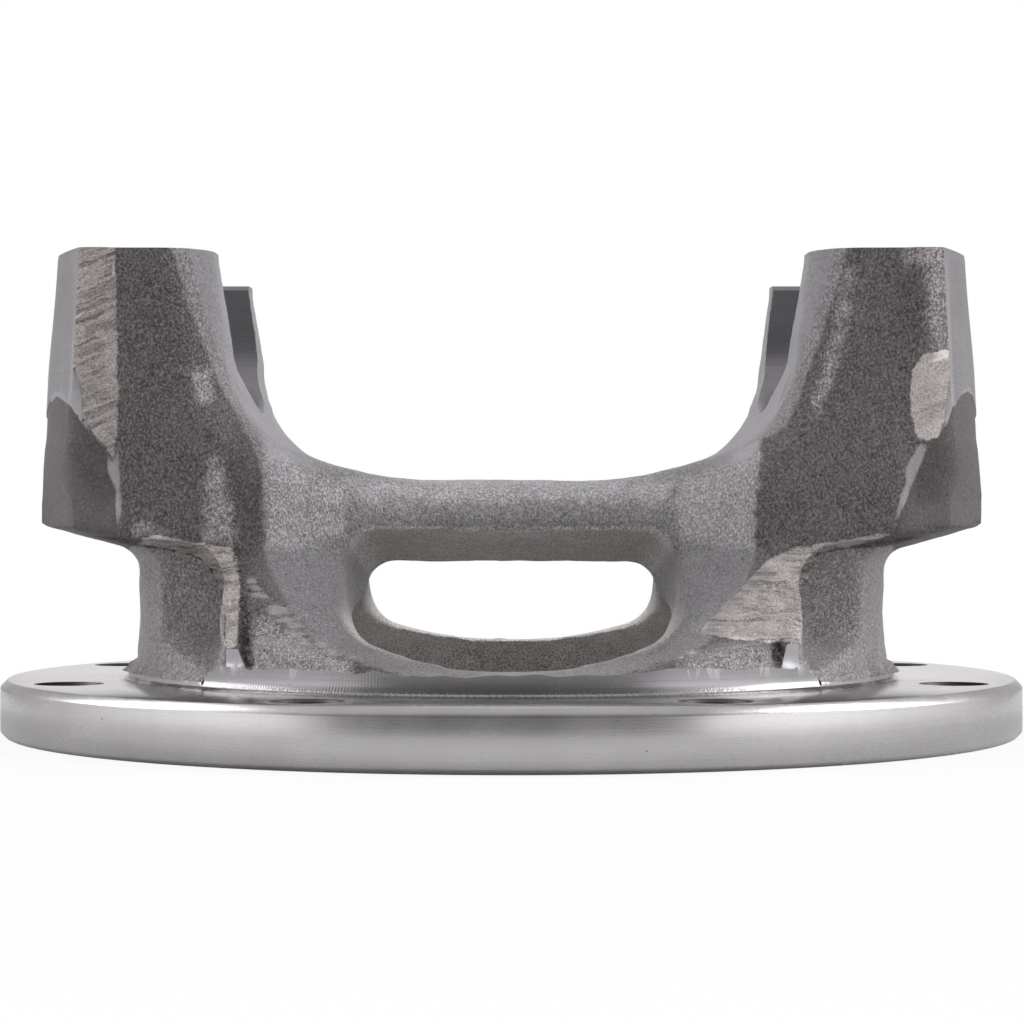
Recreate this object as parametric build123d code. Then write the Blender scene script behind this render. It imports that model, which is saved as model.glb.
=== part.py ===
from build123d import *
from math import radians, sin, tan
import os

# A forged driveline yoke in one piece: round bolting flange, hollow hub and two ears with half-round seats.
# Millimetres. Z is the flange axis, X the trunnion axis, and the origin is the middle of the mounting face.

# Flange
flange_diameter = 174.6
flange_thickness = 9.4
flange_top_chamfer = 1.3
flange_bottom_chamfer = 0.8
bolt_edge_distance = 9.5
bolt_circle_diameter = flange_diameter - 2 * bolt_edge_distance
bolt_hole_diameter = 10.3
bolt_count = 8

# Turned ring at the foot of the hub, and the pilot recess under it
nut_clearance = 12.5
hub_diameter = bolt_circle_diameter - 2 * nut_clearance
hub_wall_height = 3.1
hub_foot = 1.5
pilot_lip = 1.4
pilot_diameter = hub_diameter + 2 * pilot_lip
pilot_depth = 2.3

# Hollow under the hub
hub_wall = 5.8
pocket_diameter = hub_diameter - 2 * hub_wall
pocket_wall_height = 11.6
pocket_roof_slope = 17.0
pocket_corner = 1.8

# Ears
seat_axis_height = 79.4
seat_diameter = 49.2
seat_edge_chamfer = 0.8
ear_half_width = 37.4
ear_draft = 2.6
ear_root_height = 32.0
ear_inner_gap = 96.4
ear_turned_diameter = 157.0
ear_turned_length = 23.4
ear_turned_end = seat_axis_height - ear_turned_length
ear_turned_taper = 2.5
ear_forged_diameter = 161.0
ear_outer_corner_height = 35.2
ear_forged_height = 9.0
ear_underside_slope = 15.0
ear_trim_start = (63.2, 38.2)
ear_trim_end = (70.8, 32.6)
ear_bevel_end = (79.7, 13.9)

# Strap bolts in the ear tops
strap_bolt_hole_diameter = 8.5
strap_bolt_hole_depth = 22.0
strap_bolt_pitch_x = 128.0
strap_bolt_web = 2.2

# Bridge between the ears
bridge_height = 42.7
bridge_flat = 24.0
bridge_end_width = 75.0
bridge_end_rise = 5.5
ear_root_width = 92.4
ear_root_depth = 14.4
ear_root_bulge_share = 0.13
waist_half_width = 26.4
waist_radius = 69.0
waist_bowl_height = 30.5
waist_bowl_bulge = 4.6
bridge_edge_radius = 8.0

# Columns that carry the ears, set back to clear the nuts
column_taper = 1.4
column_diameter = hub_diameter - 2 * column_taper
column_half_width = 30.4
column_root_radius = 4.0
web_width = 90.8
recess_height = 31.8
recess_slope = 5.0
recess_radius = 6.5
column_foot_rise = 4.5
column_foot_reach = 12.6
shoulder_half_width = 48.5
shoulder_height = 17.4

# Window through the body
window_mid_width = 50.4
window_draft = 3.3
window_soffit_height = 29.0
window_soffit_slope = 11.0
window_sill_rise = 0.4
window_sill_radius = 72.0
window_corner_radius = 5.0
window_sill_corner_radius = 7.0

# How far cutting solids run clear of the body, and how near an edge lies to the place it is picked by
clear = 20.0
near = 0.4


def half_section(points):
    """Turn an outline of radius and height about the flange axis."""
    return revolve(Plane.XZ * make_face(Polyline(*points, close=True)), Axis.Z)


def across(face, length):
    """Extrude an outline drawn in X and Z by the same length to the front and to the back."""
    return extrude(Plane.XZ * face, amount=length, both=True)


def eased_corner(before, corner, after, radius):
    """Three short lines in place of a sharp corner, close to an arc of this radius."""
    first = (Vector(*before) - Vector(*corner)).normalized()
    second = (Vector(*after) - Vector(*corner)).normalized()
    half_angle = radians(first.get_angle(second)) / 2
    start = Vector(*corner) + first * (radius / tan(half_angle))
    end = Vector(*corner) + second * (radius / tan(half_angle))
    centre = Vector(*corner) + (first + second).normalized() * (radius / sin(half_angle))
    points = [start]
    for share in (1 / 3, 2 / 3):
        ray = (start - centre) * (1 - share) + (end - centre) * share
        points.append(centre + ray.normalized() * radius)
    return [(point.X, point.Y) for point in points + [end]]


def flange():
    """The turned disc with both rims chamfered, and the hub ring that stands on it with its coned foot."""
    rim = flange_diameter / 2
    ring = hub_diameter / 2
    top = flange_thickness + hub_wall_height
    return half_section([
        (0, 0),
        (rim - flange_bottom_chamfer, 0),
        (rim, flange_bottom_chamfer),
        (rim, flange_thickness - flange_top_chamfer),
        (rim - flange_top_chamfer, flange_thickness),
        (ring + hub_foot, flange_thickness),
        (ring, flange_thickness + hub_foot),
        (ring, top),
        (0, top),
    ])


def front_outline():
    """Ears, gap, columns and hub as seen along Y."""
    gap_top = ear_inner_gap / 2
    root = (ear_root_width / 2, seat_axis_height - ear_root_depth)
    bridge_end = (bridge_end_width / 2, bridge_height + bridge_end_rise)
    flat = bridge_flat / 2
    lift = bridge_end[0] - flat
    bend = (lift ** 2 + bridge_end_rise ** 2) / (2 * bridge_end_rise)
    middle = lift / 2
    crown = ThreePointArc(
        (flat, bridge_height),
        (flat + middle, bridge_height + bend - (bend ** 2 - middle ** 2) ** 0.5),
        bridge_end,
    )
    across_root = root[0] - bridge_end[0]
    up_root = root[1] - bridge_end[1]
    root_middle = (
        bridge_end[0] + across_root / 2 + up_root * ear_root_bulge_share,
        bridge_end[1] + up_root / 2 - across_root * ear_root_bulge_share,
    )
    root_arc = ThreePointArc(bridge_end, root_middle, root)
    outer = ear_forged_diameter / 2 + clear
    side = Polyline(
        root,
        (gap_top, seat_axis_height),
        (outer, seat_axis_height),
        (outer, flange_thickness),
        (0, flange_thickness),
        (0, bridge_height),
        (flat, bridge_height),
    )
    half = make_face(Curve() + [crown, root_arc, side])
    return half + mirror(half, Plane.YZ)


def side_outline():
    """Ears, shoulders and skirt as seen along X."""
    ear_foot = ear_half_width + (seat_axis_height - ear_root_height) * tan(radians(ear_draft))
    ring = hub_diameter / 2
    ring_top = flange_thickness + hub_wall_height
    half = [
        (ring, flange_thickness),
        (ring, ring_top),
        (shoulder_half_width, shoulder_height),
        (ear_foot, ear_root_height),
        (ear_half_width, seat_axis_height),
    ]
    other = [(-y, z) for y, z in reversed(half)]
    return make_face(Polyline(*half, *other, close=True))


def outer_limits():
    """The largest radius at each height: hub ring, column, ear underside, forged and turned ear face."""
    turned = ear_turned_diameter / 2
    turned_end = turned + (seat_axis_height - ear_turned_end) * tan(radians(ear_turned_taper))
    forged = ear_forged_diameter / 2
    ring = hub_diameter / 2
    column = column_diameter / 2
    column_top = ear_outer_corner_height - (forged - column) * tan(radians(ear_underside_slope))
    foot = (ring, flange_thickness + hub_wall_height)
    ear_corner = (forged, ear_outer_corner_height)
    return half_section([
        (0, flange_thickness),
        (ring, flange_thickness),
        foot,
        *eased_corner(foot, (column, column_top), ear_corner, column_root_radius),
        ear_corner,
        (forged, ear_outer_corner_height + ear_forged_height),
        (turned_end, ear_turned_end),
        (turned, seat_axis_height),
        (0, seat_axis_height),
    ])


def ear_corner_cut():
    """Bevels on the ears' outer corners: the trimmed land, and the forged slope round to the side."""
    run = (ear_trim_end[0] - ear_trim_start[0], ear_trim_end[1] - ear_trim_start[1])
    far = ear_forged_diameter / 2 + clear
    outline = Polyline(
        (ear_trim_start[0] - run[0], ear_trim_start[1] - run[1]),
        ear_trim_end,
        ear_bevel_end,
        (far, ear_bevel_end[1]),
        (far, far),
        (ear_trim_start[0] - run[0], far),
        close=True,
    )
    height = seat_axis_height + clear - recess_height
    corner = Pos(0, 0, recess_height) * extrude(make_face(outline), amount=height)
    pair = corner + mirror(corner, Plane.YZ)
    return pair + mirror(pair, Plane.XZ)


def body_blank():
    """Solid that all three outlines share, with the ears' outer corners bevelled."""
    reach = flange_diameter
    sides = extrude(Plane.YZ * side_outline(), amount=reach, both=True)
    return (across(front_outline(), reach) & sides & outer_limits()) - ear_corner_cut()


def waist_cut():
    """Bowl-shaped scoop that narrows the bridge and runs out over the sill of the window."""
    ring = hub_diameter / 2
    centre = waist_half_width + waist_radius
    lip = (centre - ring - near, flange_thickness + hub_wall_height)
    wall = (waist_radius, waist_bowl_height)
    slant = ((wall[0] - lip[0]) ** 2 + (wall[1] - lip[1]) ** 2) ** 0.5
    middle = (
        (lip[0] + wall[0]) / 2 + (wall[1] - lip[1]) / slant * waist_bowl_bulge,
        (lip[1] + wall[1]) / 2 - (wall[0] - lip[0]) / slant * waist_bowl_bulge,
    )
    top = seat_axis_height + clear
    bowl = Curve() + [
        ThreePointArc(lip, middle, wall),
        Polyline(wall, (waist_radius, top), (0, top), (0, lip[1]), lip),
    ]
    front = Pos(0, -centre, 0) * revolve(Plane.XZ * make_face(bowl), Axis.Z)
    return front + mirror(front, Plane.XZ)


def gap_edges(body):
    """Front and back edges of the gap, from one ear top across the bridge to the other."""
    inside = ear_inner_gap / 2 - near / 2
    return body.edges().filter_by(
        lambda edge: abs(edge.center().X) < inside
        and abs(edge.center().Y) > waist_half_width / 2
        and min((edge @ 0).Z, (edge @ 1).Z) > bridge_height - near
        and edge.center().Z < seat_axis_height - near)


def recess_cut():
    """Clearance for a nut beside each column, open to the front and outside, above the column's foot."""
    inner = web_width / 2
    outer = ear_forged_diameter / 2 + clear
    base = flange_thickness
    top_in = recess_height
    top_out = recess_height + (outer - inner) * tan(radians(recess_slope))
    corners = [(inner, base), (outer, base), (outer, top_out), (inner, top_in)]
    outline = Plane.XZ * make_face(Polyline(*corners, close=True))
    depth = hub_diameter / 2 + clear - column_half_width
    block = Pos(0, -column_half_width, 0) * extrude(outline, amount=depth)
    along_y = block.edges().filter_by(Axis.Y)
    block = fillet(along_y.sort_by_distance((inner, -column_half_width, top_in))[0], recess_radius)
    ring_top = flange_thickness + hub_wall_height
    above_foot = make_face(Polyline(
        (-column_half_width, top_out),
        (-column_half_width, ring_top + column_foot_rise),
        (-column_half_width - column_foot_reach, ring_top),
        (-column_half_width - depth, ring_top),
        (-column_half_width - depth, top_out),
        close=True,
    ))
    block = block & extrude(Plane.YZ * above_foot, amount=outer)
    pair = block + mirror(block, Plane.YZ)
    return pair + mirror(pair, Plane.XZ)


def window_section(distance):
    """Outline of the window at a distance in front of the flange axis."""
    half = window_mid_width / 2 + distance * tan(radians(window_draft))
    top = window_soffit_height + distance * tan(radians(window_soffit_slope))
    sill = flange_thickness + hub_wall_height + window_sill_rise
    rise = window_sill_radius - (window_sill_radius ** 2 - half ** 2) ** 0.5
    lower = ThreePointArc((-half, sill + rise), (0, sill), (half, sill + rise))
    frame = Polyline((half, sill + rise), (half, top), (-half, top), (-half, sill + rise))
    face = make_face(Curve() + [lower, frame])
    upper_corners = face.vertices().group_by(Axis.Y)[-1]
    face = fillet(upper_corners, window_corner_radius)
    lower_corners = face.vertices().group_by(Axis.Y)[0]
    return Plane.XZ.offset(distance) * fillet(lower_corners, window_sill_corner_radius)


def window_cut():
    """See-through opening that narrows to the middle of the body."""
    mouth = window_section(waist_half_width)
    front = loft([window_section(0), mouth]) + extrude(mouth, amount=hub_diameter / 2)
    return front + mirror(front, Plane.XZ)


def pocket_cut():
    """Hollow under the hub, with the pilot recess turned into the mounting face."""
    wall = pocket_diameter / 2
    throat = window_mid_width / 2
    roof = pocket_wall_height + (wall - throat) * tan(radians(pocket_roof_slope))
    hollow = half_section([
        (0, -clear),
        (wall, -clear),
        (wall, pocket_wall_height - pocket_corner),
        (wall - pocket_corner, pocket_wall_height + pocket_corner * tan(radians(pocket_roof_slope))),
        (throat, roof),
        (0, roof),
    ])
    pilot = Pos(0, 0, -clear) * extrude(Circle(pilot_diameter / 2), amount=clear + pilot_depth)
    return hollow + pilot


def seat_cut():
    """Half-round bearing seats in both ears, with the top edges broken."""
    length = ear_forged_diameter
    half = seat_diameter / 2
    bore = Pos(0, 0, seat_axis_height) * Rot(0, 90, 0) * extrude(Circle(half), amount=length, both=True)
    below = (half ** 2 - seat_edge_chamfer ** 2) ** 0.5
    edge = Polyline(
        (-half - seat_edge_chamfer, seat_axis_height),
        (-below, seat_axis_height - seat_edge_chamfer),
        (below, seat_axis_height - seat_edge_chamfer),
        (half + seat_edge_chamfer, seat_axis_height),
        close=True,
    )
    return bore + extrude(Plane.YZ * make_face(edge), amount=length, both=True)


def strap_bolt_holes():
    """Blind tapped holes, one in each of the four ear tips, at their drilled size and with a flat floor."""
    radius = strap_bolt_hole_diameter / 2
    y = seat_diameter / 2 + strap_bolt_web + radius
    drill = half_section([
        (0, clear),
        (radius, clear),
        (radius, -strap_bolt_hole_depth),
        (0, -strap_bolt_hole_depth),
    ])
    places = [(i * strap_bolt_pitch_x / 2, j * y) for i in (-1, 1) for j in (-1, 1)]
    return [Pos(px, py, seat_axis_height) * drill for px, py in places]


def flange_bolt_holes():
    """Holes on the bolt circle, none of them in line with an ear."""
    drill = extrude(Circle(bolt_hole_diameter / 2), amount=flange_thickness)
    step = 360 / bolt_count
    return [
        Rot(0, 0, step * (i + 0.5)) * Pos(bolt_circle_diameter / 2, 0, 0) * drill
        for i in range(bolt_count)
    ]


def yoke():
    """The whole forging, machined."""
    body = body_blank() - waist_cut()
    body = fillet(gap_edges(body), bridge_edge_radius)
    body = body - recess_cut()
    body = flange() + body
    body = body - pocket_cut() - window_cut() - seat_cut()
    body = body - strap_bolt_holes() - flange_bolt_holes()
    return body


os.makedirs("parts", exist_ok=True)
piece = yoke()
export_step(piece, "parts/flange_yoke.step")
print("volume", round(piece.volume / 1000, 1), "cm3", "solids", len(piece.solids()), piece.bounding_box())
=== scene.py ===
import bpy
import bmesh
import math
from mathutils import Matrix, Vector, noise


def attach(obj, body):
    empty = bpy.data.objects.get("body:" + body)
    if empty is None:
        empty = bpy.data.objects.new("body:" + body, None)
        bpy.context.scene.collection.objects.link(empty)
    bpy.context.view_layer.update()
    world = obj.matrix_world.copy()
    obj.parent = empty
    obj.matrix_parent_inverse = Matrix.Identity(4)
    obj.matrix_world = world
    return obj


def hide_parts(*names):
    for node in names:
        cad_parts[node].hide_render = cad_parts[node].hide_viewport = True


# A forged and machined flange yoke. Lengths are in millimetres here and in metres in the meshes.
# Z is the flange axis, X the trunnion axis, and the camera looks along +Y.

MM = 0.001
FLANGE_RADIUS = 87.3
FLANGE_TOP = 9.4
HUB_RADIUS = 65.3
SEAT_HEIGHT = 79.4
SEAT_RADIUS = 24.6
TURNED_RADIUS = 78.5
TURNED_TAPER = math.tan(math.radians(2.5))
TURNED_STOP = 50.5
BOLT_CIRCLE_RADIUS = 77.8
BOLT_HOLE_RADIUS = 5.15
STRAP_HOLE_X = 64.0
STRAP_HOLE_Y = 31.05
STRAP_HOLE_RADIUS = 4.25
STRAP_THREAD_PITCH = 1.25
CHATTER_RIBS = 780.0
SKIN_VOXEL = 0.85

# The photograph's camera: distance and height over the flange top in flange radii, focal length and centre in
# the photograph's pixels
PHOTO_SIZE = 1024
CAMERA_DISTANCE = 5.0
CAMERA_HEIGHT = 0.2796
FOCAL_LENGTH = 2504
PHOTO_CENTRE = (511.4, 533.5)
SENSOR_WIDTH = 36

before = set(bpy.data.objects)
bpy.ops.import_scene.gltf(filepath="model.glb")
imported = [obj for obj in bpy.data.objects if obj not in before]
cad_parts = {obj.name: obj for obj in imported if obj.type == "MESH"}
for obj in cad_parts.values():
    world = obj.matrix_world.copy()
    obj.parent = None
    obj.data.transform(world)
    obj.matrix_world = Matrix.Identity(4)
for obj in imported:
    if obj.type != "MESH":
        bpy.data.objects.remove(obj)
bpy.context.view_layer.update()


# Camera

def add_camera():
    """The photograph's view: level, from the front, through a long lens."""
    scale = FLANGE_RADIUS * MM
    place = (0, -CAMERA_DISTANCE * scale, FLANGE_TOP * MM + CAMERA_HEIGHT * scale)
    bpy.ops.object.camera_add(location=place, rotation=(math.pi / 2, 0, 0))
    camera = bpy.context.object
    camera.name = "camera"
    camera.data.sensor_width = SENSOR_WIDTH
    camera.data.lens = SENSOR_WIDTH * FOCAL_LENGTH / PHOTO_SIZE
    camera.data.shift_x = (PHOTO_SIZE / 2 - PHOTO_CENTRE[0]) / PHOTO_SIZE
    camera.data.shift_y = (PHOTO_CENTRE[1] - PHOTO_SIZE / 2) / PHOTO_SIZE
    camera.data.clip_start = 0.01
    camera.data.dof.use_dof = False
    bpy.context.scene.camera = camera


def picture_point(x, y, z):
    """Where a point of the front half shows in the photograph, in its pixels."""
    near = CAMERA_DISTANCE + y / FLANGE_RADIUS
    across = PHOTO_CENTRE[0] + FOCAL_LENGTH * x / FLANGE_RADIUS / near
    down = PHOTO_CENTRE[1] - FOCAL_LENGTH * ((z - FLANGE_TOP) / FLANGE_RADIUS - CAMERA_HEIGHT) / near
    return across, down


# Mesh helpers

def select_only(obj):
    bpy.ops.object.select_all(action="DESELECT")
    obj.select_set(True)
    bpy.context.view_layer.objects.active = obj


def new_object(name, bm):
    """An object at the origin from a bmesh in millimetres."""
    bmesh.ops.recalc_face_normals(bm, faces=bm.faces)
    bmesh.ops.scale(bm, vec=(MM, MM, MM), verts=bm.verts)
    mesh = bpy.data.meshes.new(name)
    bm.to_mesh(mesh)
    bm.free()
    obj = bpy.data.objects.new(name, mesh)
    bpy.context.collection.objects.link(obj)
    return obj


def lathe(bm, profile, steps, centre=(0, 0)):
    """Turns a closed outline of radius and height about a vertical axis."""
    rings = []
    for radius, height in profile:
        if radius == 0:
            rings.append([bm.verts.new((centre[0], centre[1], height))] * steps)
            continue
        ring = []
        for i in range(steps):
            angle = 2 * math.pi * i / steps
            x, y = radius * math.cos(angle), radius * math.sin(angle)
            ring.append(bm.verts.new((centre[0] + x, centre[1] + y, height)))
        rings.append(ring)
    for k in range(len(rings)):
        first, second = rings[k], rings[(k + 1) % len(rings)]
        for i in range(steps):
            j = (i + 1) % steps
            corners = []
            for vert in (first[i], first[j], second[j], second[i]):
                if vert not in corners:
                    corners.append(vert)
            if len(corners) > 2:
                bm.faces.new(corners)


def lathe_arc(bm, profile, start, end, steps):
    """Turns a closed outline through part of a circle, with flat ends. Angles in degrees."""
    rings = []
    for i in range(steps + 1):
        angle = math.radians(start + (end - start) * i / steps)
        rings.append([bm.verts.new((r * math.cos(angle), r * math.sin(angle), z)) for r, z in profile])
    count = len(profile)
    for first, second in zip(rings, rings[1:]):
        for k in range(count):
            j = (k + 1) % count
            bm.faces.new((first[k], first[j], second[j], second[k]))
    bm.faces.new(list(reversed(rings[0])))
    bm.faces.new(rings[-1])


def prism(bm, outline, start, end, place):
    """A solid with this outline; place(u, v, w) turns outline coordinates and depth into a point."""
    low = [bm.verts.new(place(u, v, start)) for u, v in outline]
    high = [bm.verts.new(place(u, v, end)) for u, v in outline]
    count = len(outline)
    for i in range(count):
        j = (i + 1) % count
        bm.faces.new((low[i], low[j], high[j], high[i]))
    bm.faces.new(list(reversed(low)))
    bm.faces.new(high)


def apply_modifiers(obj):
    select_only(obj)
    for modifier in list(obj.modifiers):
        bpy.ops.object.modifier_apply(modifier=modifier.name)


def cut(obj, cutter):
    """Machines obj with a cutting solid, whose material stays on the faces it leaves."""
    modifier = obj.modifiers.new("cut", "BOOLEAN")
    modifier.operation = "DIFFERENCE"
    modifier.solver = "MANIFOLD"
    modifier.material_mode = "TRANSFER"
    modifier.object = cutter
    apply_modifiers(obj)
    bpy.data.objects.remove(cutter, do_unlink=True)


def shade(obj, angle):
    select_only(obj)
    bpy.ops.object.shade_smooth_by_angle(angle=math.radians(angle))


# Where each kind of surface and each patch of painted light and shade shows, by its outline in the photograph

LANDS = [
    [(71, 240), (115, 240), (117, 330), (118, 400), (117, 440), (113, 458), (104, 444), (93, 434), (83, 417),
     (82, 396), (79, 381), (71, 362)],
    [(919, 359), (930, 352), (946, 350), (953, 352), (950, 377), (947, 405), (944, 425), (938, 437), (924, 442),
     (916, 435), (911, 415), (909, 395), (912, 373)],
    [(146, 535), (157, 535), (182, 541), (204, 544), (233, 548), (239, 564), (240, 585), (239, 620), (237, 646),
     (238, 648), (225, 648), (225, 620), (221, 592), (215, 578), (209, 567), (198, 557), (182, 552), (158, 548),
     (138, 544)],
    [(792, 548), (767, 561), (735, 595), (701, 630), (700, 634), (730, 638), (765, 642), (788, 641), (802, 642),
     (805, 600), (807, 563), (815, 554), (834, 549), (858, 544), (888, 537), (894, 531), (872, 535), (843, 541)],
]
# Ledges along the flares' edges: pale tan ledges with a painted highlight
LIT_LEDGES = [
    [(250, 577), (265, 592), (283, 605), (298, 622), (308, 638), (327, 650), (305, 642), (287, 632), (272, 616),
     (260, 598), (249, 587)],
]
FLARES = [
    [(252, 570), (275, 598), (296, 618), (310, 639), (331, 653), (358, 662), (352, 640), (346, 600), (350, 560),
     (330, 548), (290, 545), (262, 552)],
    [(771, 570), (748, 598), (727, 618), (713, 639), (692, 653), (665, 662), (671, 640), (677, 600), (673, 560),
     (693, 548), (733, 545), (761, 552)],
]
CORNERS = [
    [(838, 240), (822, 300), (800, 360), (786, 395), (770, 430), (752, 458), (700, 470), (740, 400), (775, 350),
     (786, 300), (790, 240)],
    [(185, 240), (201, 300), (223, 360), (237, 395), (253, 430), (271, 458), (323, 470), (283, 400), (248, 350),
     (237, 300), (233, 240)],
]
CORE = [
    [(170, 240), (186, 300), (206, 348), (219, 385), (240, 418), (255, 452), (262, 480), (263, 522), (266, 560),
     (285, 600), (310, 639), (331, 653), (358, 662), (430, 685), (592, 685), (665, 662), (692, 653), (713, 639),
     (738, 600), (755, 560), (757, 500), (761, 440), (785, 430), (800, 395), (812, 360), (833, 300), (849, 240)],
]
# Lighter patches of skin, and painted light on the skirts just above the flange
PALE_AND_LIT = [
    [(193, 368), (210, 372), (212, 400), (198, 402)],
    [(207, 461), (218, 458), (226, 478), (231, 505), (234, 543), (206, 540), (204, 505)],
    [(930, 240), (948, 240), (948, 352), (938, 357), (931, 330), (927, 290)],
    [(905, 240), (948, 240), (948, 260), (925, 268), (905, 262)],
    [(134, 524), (153, 524), (160, 533), (134, 536)],
    [(812, 405), (820, 380), (836, 330), (845, 270), (852, 270), (845, 335), (829, 385), (818, 410)],
    [(248, 650), (262, 614), (285, 632), (312, 645), (350, 662), (352, 676), (250, 676)],
    [(678, 676), (680, 662), (702, 650), (735, 643), (770, 645), (772, 676)],
]
LIT = [
    [(264, 440), (300, 462), (345, 486), (345, 535), (300, 548), (268, 548)],
    [(759, 440), (723, 462), (678, 486), (678, 535), (723, 548), (755, 548)],
    [(345, 480), (680, 480), (660, 501), (365, 501)],
]
RIDGES = [
    [(109, 452), (113, 464), (118, 452), (119, 470), (121, 491), (121, 514), (118, 524), (116, 514), (116, 491),
     (108, 472)],
    [(922, 442), (928, 446), (914, 480), (904, 506), (897, 522), (894, 520), (899, 503), (906, 480), (906, 468),
     (913, 455)],
]
BARE = [
    [(50, 236), (74, 236), (72, 300), (70, 362), (79, 381), (82, 396), (83, 417), (93, 434), (112, 451), (112, 456),
     (100, 443), (84, 427), (71, 406), (57, 396), (50, 404)],
    [(948, 236), (980, 236), (985, 411), (977, 400), (968, 391), (958, 397), (952, 409), (946, 427), (938, 437),
     (943, 425), (946, 405), (949, 377), (952, 357), (949, 350)],
    [(226, 649), (238, 649), (243, 662), (247, 672), (226, 672)],
    [(787, 644), (798, 644), (799, 670), (781, 670)],
]
# Painted shade: the ears' lower outer sides, where the skin is painted darker
SHADED_FLANKS = [
    [(30, 404), (57, 396), (71, 406), (84, 427), (100, 443), (112, 456), (116, 480), (117, 530), (112, 560),
     (30, 560)],
    [(995, 411), (977, 400), (968, 391), (958, 397), (952, 409), (946, 427), (938, 437), (928, 446), (914, 480),
     (904, 506), (897, 520), (895, 550), (995, 550)],
]
# Painted light: the columns' recessed faces, painted lighter than the rest of the skin
LIT_COLUMNS = [
    [(130, 545), (160, 549), (182, 553), (198, 558), (209, 567), (215, 578), (221, 592), (225, 620), (224, 650),
     (228, 690), (120, 690)],
    [(893, 545), (863, 549), (841, 550), (822, 553), (806, 560), (799, 592), (791, 620), (790, 650), (795, 690),
     (903, 690)],
]
# Painted shade: the grooves between the front web and the columns, painted near black
SHADED_GAPS = [
    [(232, 547), (236, 549), (240, 563), (243, 585), (246, 605), (249, 628), (252, 648), (253, 667), (248, 670),
     (243, 662), (239, 646), (240, 620), (240, 590), (237, 566)],
    [(773, 642), (783, 641), (786, 650), (783, 664), (777, 668), (772, 656)],
]
SOFT = [
    [(232, 505), (300, 505), (372, 515), (375, 640), (340, 668), (300, 655), (262, 610), (236, 570)],
    [(791, 505), (723, 505), (651, 515), (648, 640), (683, 668), (723, 655), (761, 610), (787, 570)],
    [(30, 425), (98, 435), (108, 470), (106, 506), (30, 492)],
    [(995, 425), (945, 425), (925, 460), (914, 490), (914, 508), (995, 492)],
]
SHADE = [
    [(234, 427), (262, 440), (266, 575), (240, 575)],
]


def front_point(x, y, z):
    """Picture place of a point. The back half is taken as the front half turned half round."""
    return picture_point(-x if y > 0 else x, -abs(y), z)


def depth_inside(outline, px, py):
    """Distance in pixels from a point to an outline's edge, positive inside it."""
    inside = False
    nearest = 1e9
    count = len(outline)
    for i in range(count):
        x0, y0 = outline[i]
        x1, y1 = outline[(i + 1) % count]
        if (y0 > py) != (y1 > py) and px < (x1 - x0) * (py - y0) / (y1 - y0) + x0:
            inside = not inside
        length = (x1 - x0) ** 2 + (y1 - y0) ** 2
        t = max(0.0, min(1.0, ((px - x0) * (x1 - x0) + (py - y0) * (y1 - y0)) / length))
        nearest = min(nearest, math.hypot(px - x0 - t * (x1 - x0), py - y0 - t * (y1 - y0)))
    return nearest if inside else -nearest


# Turned flange

def bolt_places():
    angles = [math.radians(45 * i + 22.5) for i in range(8)]
    return [(BOLT_CIRCLE_RADIUS * math.cos(angle), BOLT_CIRCLE_RADIUS * math.sin(angle)) for angle in angles]


def add_flange():
    """The disc with its rims, the pilot recess under it and the eight bolt holes."""
    bm = bmesh.new()
    rim = FLANGE_RADIUS
    lathe(bm, [
        (59.7, 2.3), (66.4, 2.3), (66.7, 2.0), (66.7, 0.45), (67.1, 0.0),
        (rim - 0.95, 0.0), (rim - 0.75, 0.1), (rim - 0.1, 0.75), (rim, 0.95),
        (rim, 7.95), (rim - 0.09, 8.2), (rim - 1.15, 9.28), (rim - 1.4, FLANGE_TOP), (61.6, FLANGE_TOP), (60.4, 4.0),
    ], 384)
    flange = new_object("turned_flange", bm)
    flange.data.materials.append(bpy.data.materials["flange_steel"])
    bm = bmesh.new()
    for place in bolt_places():
        lathe(bm, [
            (0, -1), (6.65, -1), (5.65, 0), (BOLT_HOLE_RADIUS, 0.5),
            (BOLT_HOLE_RADIUS, 8.9), (5.65, FLANGE_TOP), (6.65, 10.4), (0, 10.4),
        ], 64, place)
    drills = new_object("bolt_drills", bm)
    drills.data.materials.append(bpy.data.materials["drilled_steel"])
    cut(flange, drills)
    bevel = flange.modifiers.new("broken edges", "BEVEL")
    bevel.width = 0.12 * MM
    bevel.segments = 2
    bevel.limit_method = "ANGLE"
    bevel.angle_limit = math.radians(35)
    apply_modifiers(flange)
    shade(flange, 30)
    return flange


# Forged body

def turned_limit(z):
    """Radius of the turned outer face of an ear at a height."""
    return TURNED_RADIUS + (SEAT_HEIGHT - z) * TURNED_TAPER


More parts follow.
